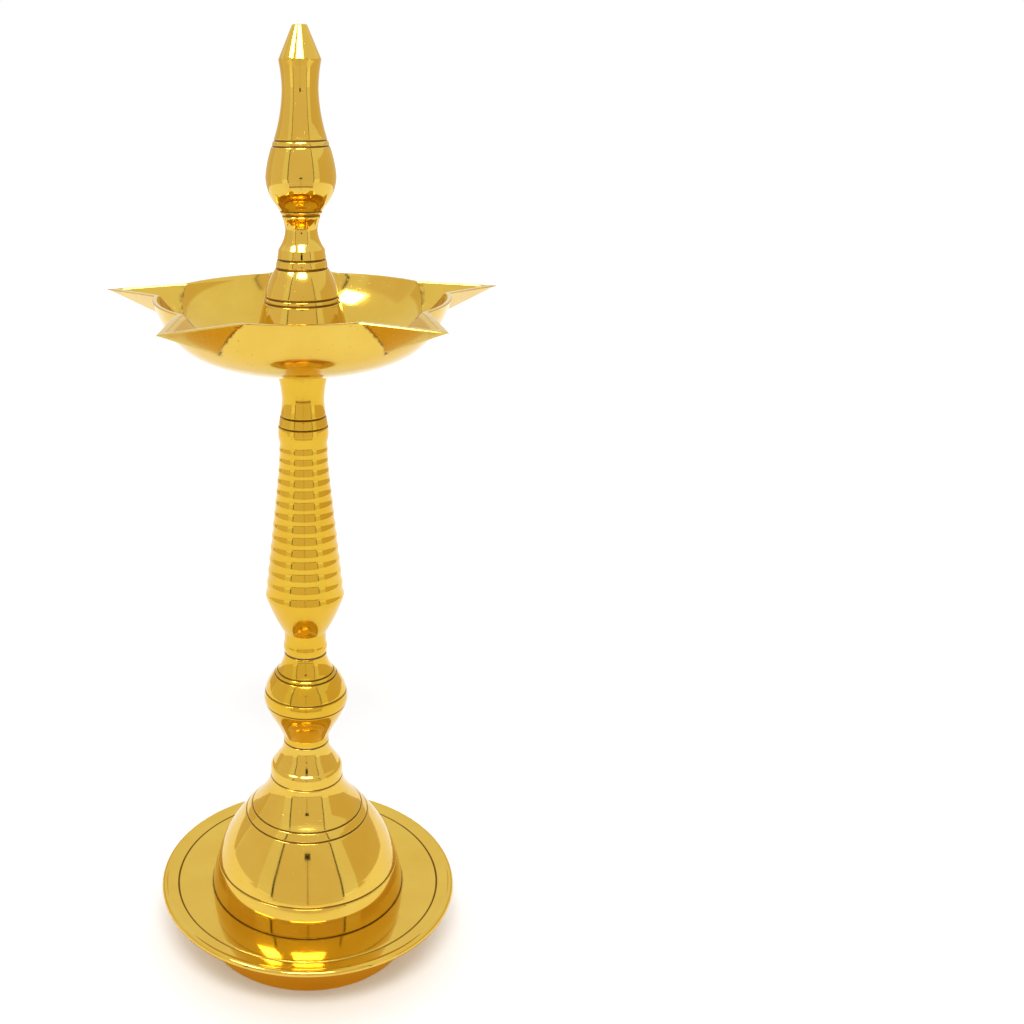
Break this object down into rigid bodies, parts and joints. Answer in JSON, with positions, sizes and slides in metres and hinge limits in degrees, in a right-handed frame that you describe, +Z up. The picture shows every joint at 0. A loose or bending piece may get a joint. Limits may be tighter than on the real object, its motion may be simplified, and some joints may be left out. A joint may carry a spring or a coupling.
{
  "type": "standing oil lamp",
  "caption": "Tall turned brass oil lamp: hollow dish-and-bell foot, screwed knop and ribbed column, shallow round oil tray with pointed wick beaks, flame finial.",
  "frame": {"origin": "on the lamp's turning axis, in the plane the foot ring stands on", "axes": "+Z up along the axis; +Y along the rear beak; the front view looks along +Y at the gap between the two front beaks; +X to the viewer's right"},
  "size_m": [0.1482, 0.1409, 0.3615],
  "materials": {
    "polished_brass": "bright lathe polish",
    "stud_brass": "as cut, slightly dull",
    "waxed_leather": "waxed, dark"
  },
  "bodies": {
    "base": {"base_dish": "polished_brass", "base_bell": "polished_brass"},
    "knop_seat": {"knop_washer": "waxed_leather"},
    "knop_section": {"knop": "polished_brass", "knop_stud": "stud_brass"},
    "column_seat": {"column_washer": "waxed_leather"},
    "column_section": {"ribbed_column": "polished_brass", "column_stud": "stud_brass", "tray_washer": "waxed_leather"},
    "tray": {"oil_tray": "polished_brass"},
    "finial_seat": {"finial_washer": "waxed_leather"},
    "finial_section": {"finial": "polished_brass", "finial_stud": "stud_brass"}
  },
  "joints": [
    {"name": "knop_lift", "type": "slide", "parent": "base", "child": "knop_seat", "axis": [0, 0, 1], "range_m": [0, 0.0099]},
    {"name": "knop_screw", "type": "hinge", "parent": "knop_seat", "child": "knop_section", "pos_m": [0, 0, 0.09], "axis": [0, 0, 1], "range_deg": [0, 2377]},
    {"name": "column_lift", "type": "slide", "parent": "knop_section", "child": "column_seat", "axis": [0, 0, 1], "range_m": [0, 0.0099]},
    {"name": "column_screw", "type": "hinge", "parent": "column_seat", "child": "column_section", "pos_m": [0, 0, 0.13], "axis": [0, 0, 1], "range_deg": [0, 2377]},
    {"name": "tray_turn", "type": "hinge", "parent": "column_section", "child": "tray", "pos_m": [0, 0, 0.2457], "axis": [0, 0, 1], "continuous": true},
    {"name": "finial_lift", "type": "slide", "parent": "tray", "child": "finial_seat", "axis": [0, 0, 1], "range_m": [0, 0.0099]},
    {"name": "finial_screw", "type": "hinge", "parent": "finial_seat", "child": "finial_section", "pos_m": [0, 0, 0.249], "axis": [0, 0, 1], "range_deg": [0, 2377]}
  ],
  "couplings": [
    {"joint": "knop_screw", "follows": "knop_lift", "rad_per_m": 4188.8},
    {"joint": "column_screw", "follows": "column_lift", "rad_per_m": 4188.8},
    {"joint": "finial_screw", "follows": "finial_lift", "rad_per_m": 4188.8}
  ]
}
